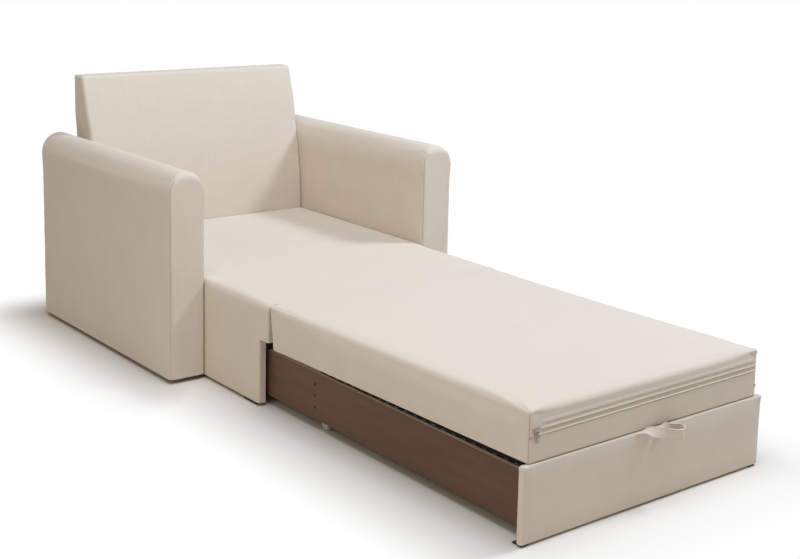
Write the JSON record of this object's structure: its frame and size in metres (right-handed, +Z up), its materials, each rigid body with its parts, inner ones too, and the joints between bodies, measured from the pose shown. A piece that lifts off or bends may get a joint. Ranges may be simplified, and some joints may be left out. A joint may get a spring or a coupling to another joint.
{
  "type": "pull-out chair bed",
  "caption": "Upholstered single chair bed, opened: padded arms and backrest, fold-over mattress on a roll-out drawer.",
  "frame": {"origin": "on the floor, at the middle of the opened object's box", "axes": "+X across the chair to a front viewer's right, +Y from the bed's foot end to the backrest, +Z up"},
  "size_m": [1, 2.2056, 0.784],
  "materials": {
    "linen": "beige linen-look weave",
    "foam": "upholstery foam",
    "timber": "raw softwood",
    "chipboard": "raw chipboard",
    "fibreboard": "dark brown faced fibreboard",
    "black_cloth": "black lining cloth",
    "black_plastic": "moulded",
    "grey_plastic": "moulded nylon",
    "zinc": "zinc plated",
    "zip_tape": "woven tape with moulded teeth"
  },
  "bodies": {
    "chair": {"arm_left_cover": "linen", "arm_left_foam": "foam", "arm_left_inner_panel": "chipboard", "arm_left_frame": "timber", "arm_left_foot_front": "black_plastic", "arm_left_foot_rear": "black_plastic", "arm_right_cover": "linen", "arm_right_foam": "foam", "arm_right_inner_panel": "chipboard", "arm_right_frame": "timber", "arm_right_foot_front": "black_plastic", "arm_right_foot_rear": "black_plastic", "seat_cover": "linen", "seat_foam": "foam", "seat_deck": "chipboard", "seat_rail_front": "timber", "seat_rail_middle": "timber", "seat_rail_rear": "timber", "seat_side_left": "chipboard", "seat_side_right": "chipboard", "seat_foot_front_left": "black_plastic", "seat_foot_front_right": "black_plastic", "seat_foot_rear_left": "black_plastic", "seat_foot_rear_right": "black_plastic", "drawer_guide_left": "black_plastic", "drawer_guide_right": "black_plastic", "base_rear_rail": "timber", "base_rear_panel": "fibreboard", "back_cover": "linen", "back_foam": "foam", "back_panel": "fibreboard", "back_post_left": "timber", "back_post_right": "timber", "back_top_rail": "timber"},
    "drawer": {"drawer_front_cover": "linen", "drawer_front_board": "chipboard", "drawer_rear_rail": "chipboard", "drawer_cloth": "black_cloth", "pull_strap": "linen", "drawer_side_left": "fibreboard", "drawer_side_right": "fibreboard", "drawer_ledge_left": "timber", "drawer_ledge_right": "timber", "drawer_glide_left": "black_plastic", "drawer_glide_right": "black_plastic", "drawer_wheel_bracket_left": "zinc", "drawer_wheel_bracket_right": "zinc", "drawer_slat_1": "timber", "drawer_slat_2": "timber", "drawer_slat_3": "timber", "drawer_slat_4": "timber"},
    "wheel_left": {"drawer_wheel_left": "grey_plastic"},
    "wheel_right": {"drawer_wheel_right": "grey_plastic"},
    "mattress": {"mattress_cover": "linen", "mattress_foam": "foam", "mattress_hinge_tape": "linen", "zip_tape": "zip_tape"},
    "zip_slider": {"zip_slider": "zinc"},
    "zip_pull": {"zip_pull": "zinc"}
  },
  "joints": [
    {"name": "drawer_slide", "type": "slide", "parent": "chair", "child": "drawer", "axis": [0, 1, 0], "range_m": [0, 1.0129]},
    {"name": "wheel_left_spin", "type": "hinge", "parent": "drawer", "child": "wheel_left", "pos_m": [-0.3349, -0.2772, 0.017], "axis": [-1, 0, 0], "continuous": true},
    {"name": "wheel_right_spin", "type": "hinge", "parent": "drawer", "child": "wheel_right", "pos_m": [0.3349, -0.2772, 0.017], "axis": [-1, 0, 0], "continuous": true},
    {"name": "mattress_flip", "type": "hinge", "parent": "chair", "child": "mattress", "pos_m": [0, -0.0768, 0.2928], "axis": [-1, 0, 0], "range_deg": [0, 179.4]},
    {"name": "zip_slide", "type": "slide", "parent": "mattress", "child": "zip_slider", "axis": [1, 0, 0.007], "range_m": [0, 0.709]},
    {"name": "zip_pull_tilt", "type": "hinge", "parent": "zip_slider", "child": "zip_pull", "pos_m": [-0.35539, -1.0667, 0.24672], "axis": [-1, 0, -0.007], "range_deg": [0, 150]}
  ],
  "couplings": [
    {"joint": "wheel_left_spin", "follows": "drawer_slide", "rad_per_m": 58.824},
    {"joint": "wheel_right_spin", "follows": "drawer_slide", "rad_per_m": 58.824}
  ]
}
